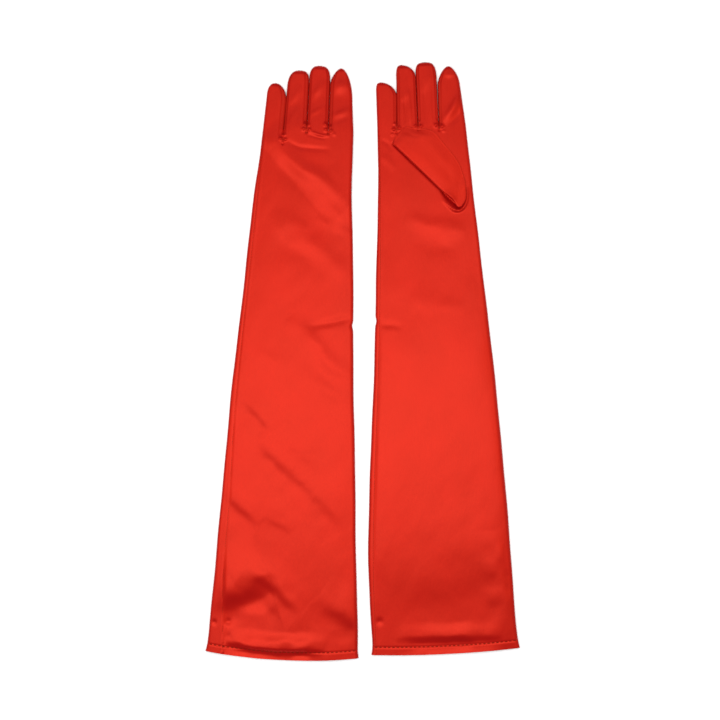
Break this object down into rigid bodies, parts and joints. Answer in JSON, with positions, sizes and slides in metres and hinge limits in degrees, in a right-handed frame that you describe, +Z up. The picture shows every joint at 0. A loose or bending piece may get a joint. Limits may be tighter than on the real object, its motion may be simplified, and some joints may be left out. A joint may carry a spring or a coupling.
{
  "type": "opera gloves",
  "caption": "Pair of long satin opera gloves lying flat, one back up with the thumb tucked under, one palm up with the thumb folded across.",
  "frame": {"origin": "on the table, under the middle of the pair", "axes": "+Y from the hems to the fingertips, +X from the left glove to the right glove, +Z up from the table"},
  "size_m": [0.3184, 0.61, 0.0146],
  "materials": {
    "satin": "satin",
    "wrong_side": "matt",
    "thread": "thread",
    "fourchette": "satin"
  },
  "bodies": {
    "left_upper_arm": {"left_upper_sleeve": "satin", "left_upper_seam_thread": "thread", "left_upper_seam_allowance": "wrong_side", "left_hem_band": "wrong_side", "left_hem_thread": "thread"},
    "left_forearm": {"left_forearm_sleeve": "satin", "left_forearm_seam_thread": "thread", "left_forearm_seam_allowance": "wrong_side"},
    "left_hand": {"left_hand_trank": "satin", "left_hand_seam_thread": "thread", "left_hand_seam_allowance": "wrong_side", "left_pinky_ring_tack": "thread", "left_ring_middle_tack": "thread", "left_middle_index_tack": "thread"},
    "left_pinky": {"left_pinky_back": "satin", "left_pinky_palm": "satin", "left_pinky_fourchette": "fourchette"},
    "left_ring": {"left_ring_back": "satin", "left_ring_palm": "satin", "left_ring_fourchette_pinky_side": "fourchette", "left_ring_fourchette_middle_side": "fourchette"},
    "left_middle": {"left_middle_back": "satin", "left_middle_palm": "satin", "left_middle_fourchette_ring_side": "fourchette", "left_middle_fourchette_index_side": "fourchette"},
    "left_index": {"left_index_shell": "satin", "left_index_fourchette": "fourchette"},
    "left_thumb": {"left_thumb_shell": "satin", "left_thumb_seam_thread": "thread"},
    "right_upper_arm": {"right_upper_sleeve": "satin", "right_upper_seam_thread": "thread", "right_upper_seam_allowance": "wrong_side", "right_hem_band": "wrong_side", "right_hem_thread": "thread"},
    "right_forearm": {"right_forearm_sleeve": "satin", "right_forearm_seam_thread": "thread", "right_forearm_seam_allowance": "wrong_side"},
    "right_hand": {"right_hand_trank": "satin", "right_hand_seam_thread": "thread", "right_hand_seam_allowance": "wrong_side", "right_pinky_ring_tack": "thread", "right_ring_middle_tack": "thread", "right_middle_index_tack": "thread"},
    "right_pinky": {"right_pinky_back": "satin", "right_pinky_palm": "satin", "right_pinky_fourchette": "fourchette"},
    "right_ring": {"right_ring_back": "satin", "right_ring_palm": "satin", "right_ring_fourchette_pinky_side": "fourchette", "right_ring_fourchette_middle_side": "fourchette"},
    "right_middle": {"right_middle_back": "satin", "right_middle_palm": "satin", "right_middle_fourchette_ring_side": "fourchette", "right_middle_fourchette_index_side": "fourchette"},
    "right_index": {"right_index_shell": "satin", "right_index_fourchette": "fourchette"},
    "right_thumb": {"right_thumb_shell": "satin", "right_thumb_seam_thread": "thread"}
  },
  "joints": [
    {"name": "left_elbow_fold", "type": "hinge", "parent": "left_upper_arm", "child": "left_forearm", "pos_m": [-0.07422, -0.1216, 0.00908], "axis": [0.9989, -0.0471, 0], "range_deg": [0, 140]},
    {"name": "left_wrist_fold", "type": "hinge", "parent": "left_forearm", "child": "left_hand", "pos_m": [-0.06273, 0.12213, 0.00803], "axis": [0.9989, -0.0471, 0], "range_deg": [0, 75]},
    {"name": "left_pinky_bend", "type": "hinge", "parent": "left_hand", "child": "left_pinky", "pos_m": [-0.09196, 0.23563, 0.0109], "axis": [0.9989, -0.0471, 0], "range_deg": [0, 90]},
    {"name": "left_ring_bend", "type": "hinge", "parent": "left_hand", "child": "left_ring", "pos_m": [-0.06984, 0.23459, 0.0109], "axis": [0.9989, -0.0471, 0], "range_deg": [0, 90]},
    {"name": "left_middle_bend", "type": "hinge", "parent": "left_hand", "child": "left_middle", "pos_m": [-0.04811, 0.23356, 0.0109], "axis": [0.9989, -0.0471, 0], "range_deg": [0, 90]},
    {"name": "left_index_bend", "type": "hinge", "parent": "left_hand", "child": "left_index", "pos_m": [-0.02469, 0.23246, 0.0109], "axis": [0.9989, -0.0471, 0], "range_deg": [0, 90]},
    {"name": "left_thumb_unfold", "type": "hinge", "parent": "left_hand", "child": "left_thumb", "pos_m": [-0.01846, 0.16709, 0.0015], "axis": [-0.0471, -0.9989, 0], "range_deg": [0, 165]},
    {"name": "gloves_apart", "type": "slide", "parent": "left_upper_arm", "child": "right_upper_arm", "axis": [1, 0, 0], "range_m": [0, 0.12]},
    {"name": "right_elbow_fold", "type": "hinge", "parent": "right_upper_arm", "child": "right_forearm", "pos_m": [0.07422, -0.1171, 0.00908], "axis": [0.9989, 0.0471, 0], "range_deg": [0, 140]},
    {"name": "right_wrist_fold", "type": "hinge", "parent": "right_forearm", "child": "right_hand", "pos_m": [0.06273, 0.12663, 0.00803], "axis": [0.9989, 0.0471, 0], "range_deg": [0, 75]},
    {"name": "right_pinky_bend", "type": "hinge", "parent": "right_hand", "child": "right_pinky", "pos_m": [0.02294, 0.23688, 0.00755], "axis": [0.9989, 0.0471, 0], "range_deg": [0, 90]},
    {"name": "right_ring_bend", "type": "hinge", "parent": "right_hand", "child": "right_ring", "pos_m": [0.04506, 0.23792, 0.00755], "axis": [0.9989, 0.0471, 0], "range_deg": [0, 90]},
    {"name": "right_middle_bend", "type": "hinge", "parent": "right_hand", "child": "right_middle", "pos_m": [0.06679, 0.23895, 0.00755], "axis": [0.9989, 0.0471, 0], "range_deg": [0, 90]},
    {"name": "right_index_bend", "type": "hinge", "parent": "right_hand", "child": "right_index", "pos_m": [0.09021, 0.24005, 0.00755], "axis": [0.9989, 0.0471, 0], "range_deg": [0, 90]},
    {"name": "right_thumb_unfold", "type": "hinge", "parent": "right_hand", "child": "right_thumb", "pos_m": [0.10107, 0.17549, 0.0116], "axis": [-0.0471, 0.9989, 0], "range_deg": [0, 172]}
  ]
}
